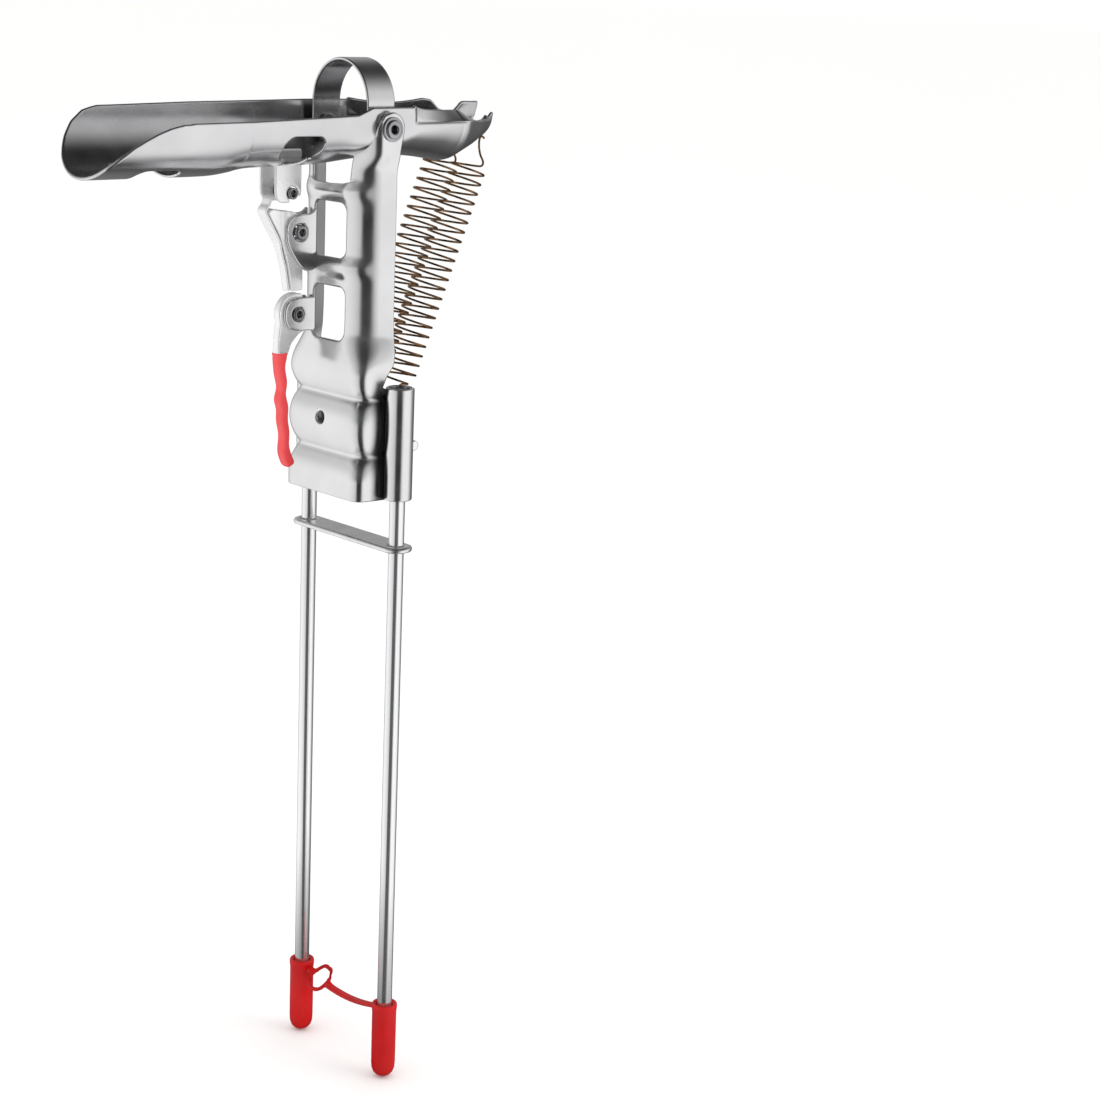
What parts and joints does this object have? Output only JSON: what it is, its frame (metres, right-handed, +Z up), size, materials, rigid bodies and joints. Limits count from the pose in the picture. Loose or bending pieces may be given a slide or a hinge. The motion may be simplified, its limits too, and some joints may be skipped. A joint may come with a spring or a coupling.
{
  "type": "fishing rod holder",
  "caption": "Spring-loaded ground-spike fishing rod holder: tilting rod cradle on a stamped stand with a butt hoop, twin springs and trigger latch.",
  "frame": {"origin": "midway between the two ground spikes, level with the tips of their caps", "axes": "+Z up, +X from the cradle's nose to its spring tail, +Y to the left-hand spike"},
  "size_m": [0.1868, 0.066, 0.406],
  "materials": {
    "stamped_steel": "polished stamped stainless sheet",
    "polished_rod": "bright drawn rod",
    "fastener_steel": "plated rivets and washers",
    "lever_steel": "folded steel levers",
    "spring_steel": "straw-tempered spring wire",
    "cap_vinyl": "glossy soft red vinyl",
    "grip_plastic": "moulded coral-red plastic"
  },
  "bodies": {
    "stand": {"stand_body": "stamped_steel", "ground_spike_left": "polished_rod", "ground_spike_right": "polished_rod", "crossbar": "stamped_steel", "spring_anchor_rod": "polished_rod", "pivot_rivet_left": "fastener_steel", "pivot_rivet_right": "fastener_steel", "pivot_washer_left": "fastener_steel", "pivot_washer_right": "fastener_steel", "latch_pin": "fastener_steel", "trigger_pin": "fastener_steel", "spring_left": "spring_steel", "spring_right": "spring_steel"},
    "cradle": {"rod_cradle": "stamped_steel", "catch_bracket": "lever_steel", "catch_pin": "fastener_steel", "catch_roller": "fastener_steel"},
    "hoop": {"butt_hoop": "stamped_steel", "hoop_spacer_left": "fastener_steel", "hoop_spacer_right": "fastener_steel"},
    "latch": {"latch_lever": "lever_steel"},
    "trigger": {"trigger_lever": "lever_steel", "trigger_grip": "grip_plastic"},
    "caps": {"tip_cap_left": "cap_vinyl", "tip_cap_right": "cap_vinyl", "tip_cap_strap": "cap_vinyl"}
  },
  "joints": [
    {"name": "cradle_tilt", "type": "hinge", "parent": "stand", "child": "cradle", "pos_m": [-0.0036, 0, 0.381], "axis": [0, 1, 0], "range_deg": [0, 50], "deforming": ["spring_left", "spring_right"]},
    {"name": "hoop_swing", "type": "hinge", "parent": "cradle", "child": "hoop", "pos_m": [-0.0036, 0, 0.381], "axis": [0, 1, 0], "range_deg": [-50, 50]},
    {"name": "trigger_pull", "type": "hinge", "parent": "stand", "child": "trigger", "pos_m": [-0.0213, 0.0118, 0.3094], "axis": [0, 1, 0], "range_deg": [0, 25]},
    {"name": "latch_release", "type": "hinge", "parent": "stand", "child": "latch", "pos_m": [-0.0208, 0.0118, 0.3405], "axis": [0, 1, 0], "range_deg": [-7, 0]},
    {"name": "cap_pull", "type": "slide", "parent": "stand", "child": "caps", "axis": [0, 0, -1], "range_m": [0, 0.04]}
  ],
  "couplings": [
    {"joint": "latch_release", "follows": "trigger_pull", "ratio": -0.28}
  ]
}
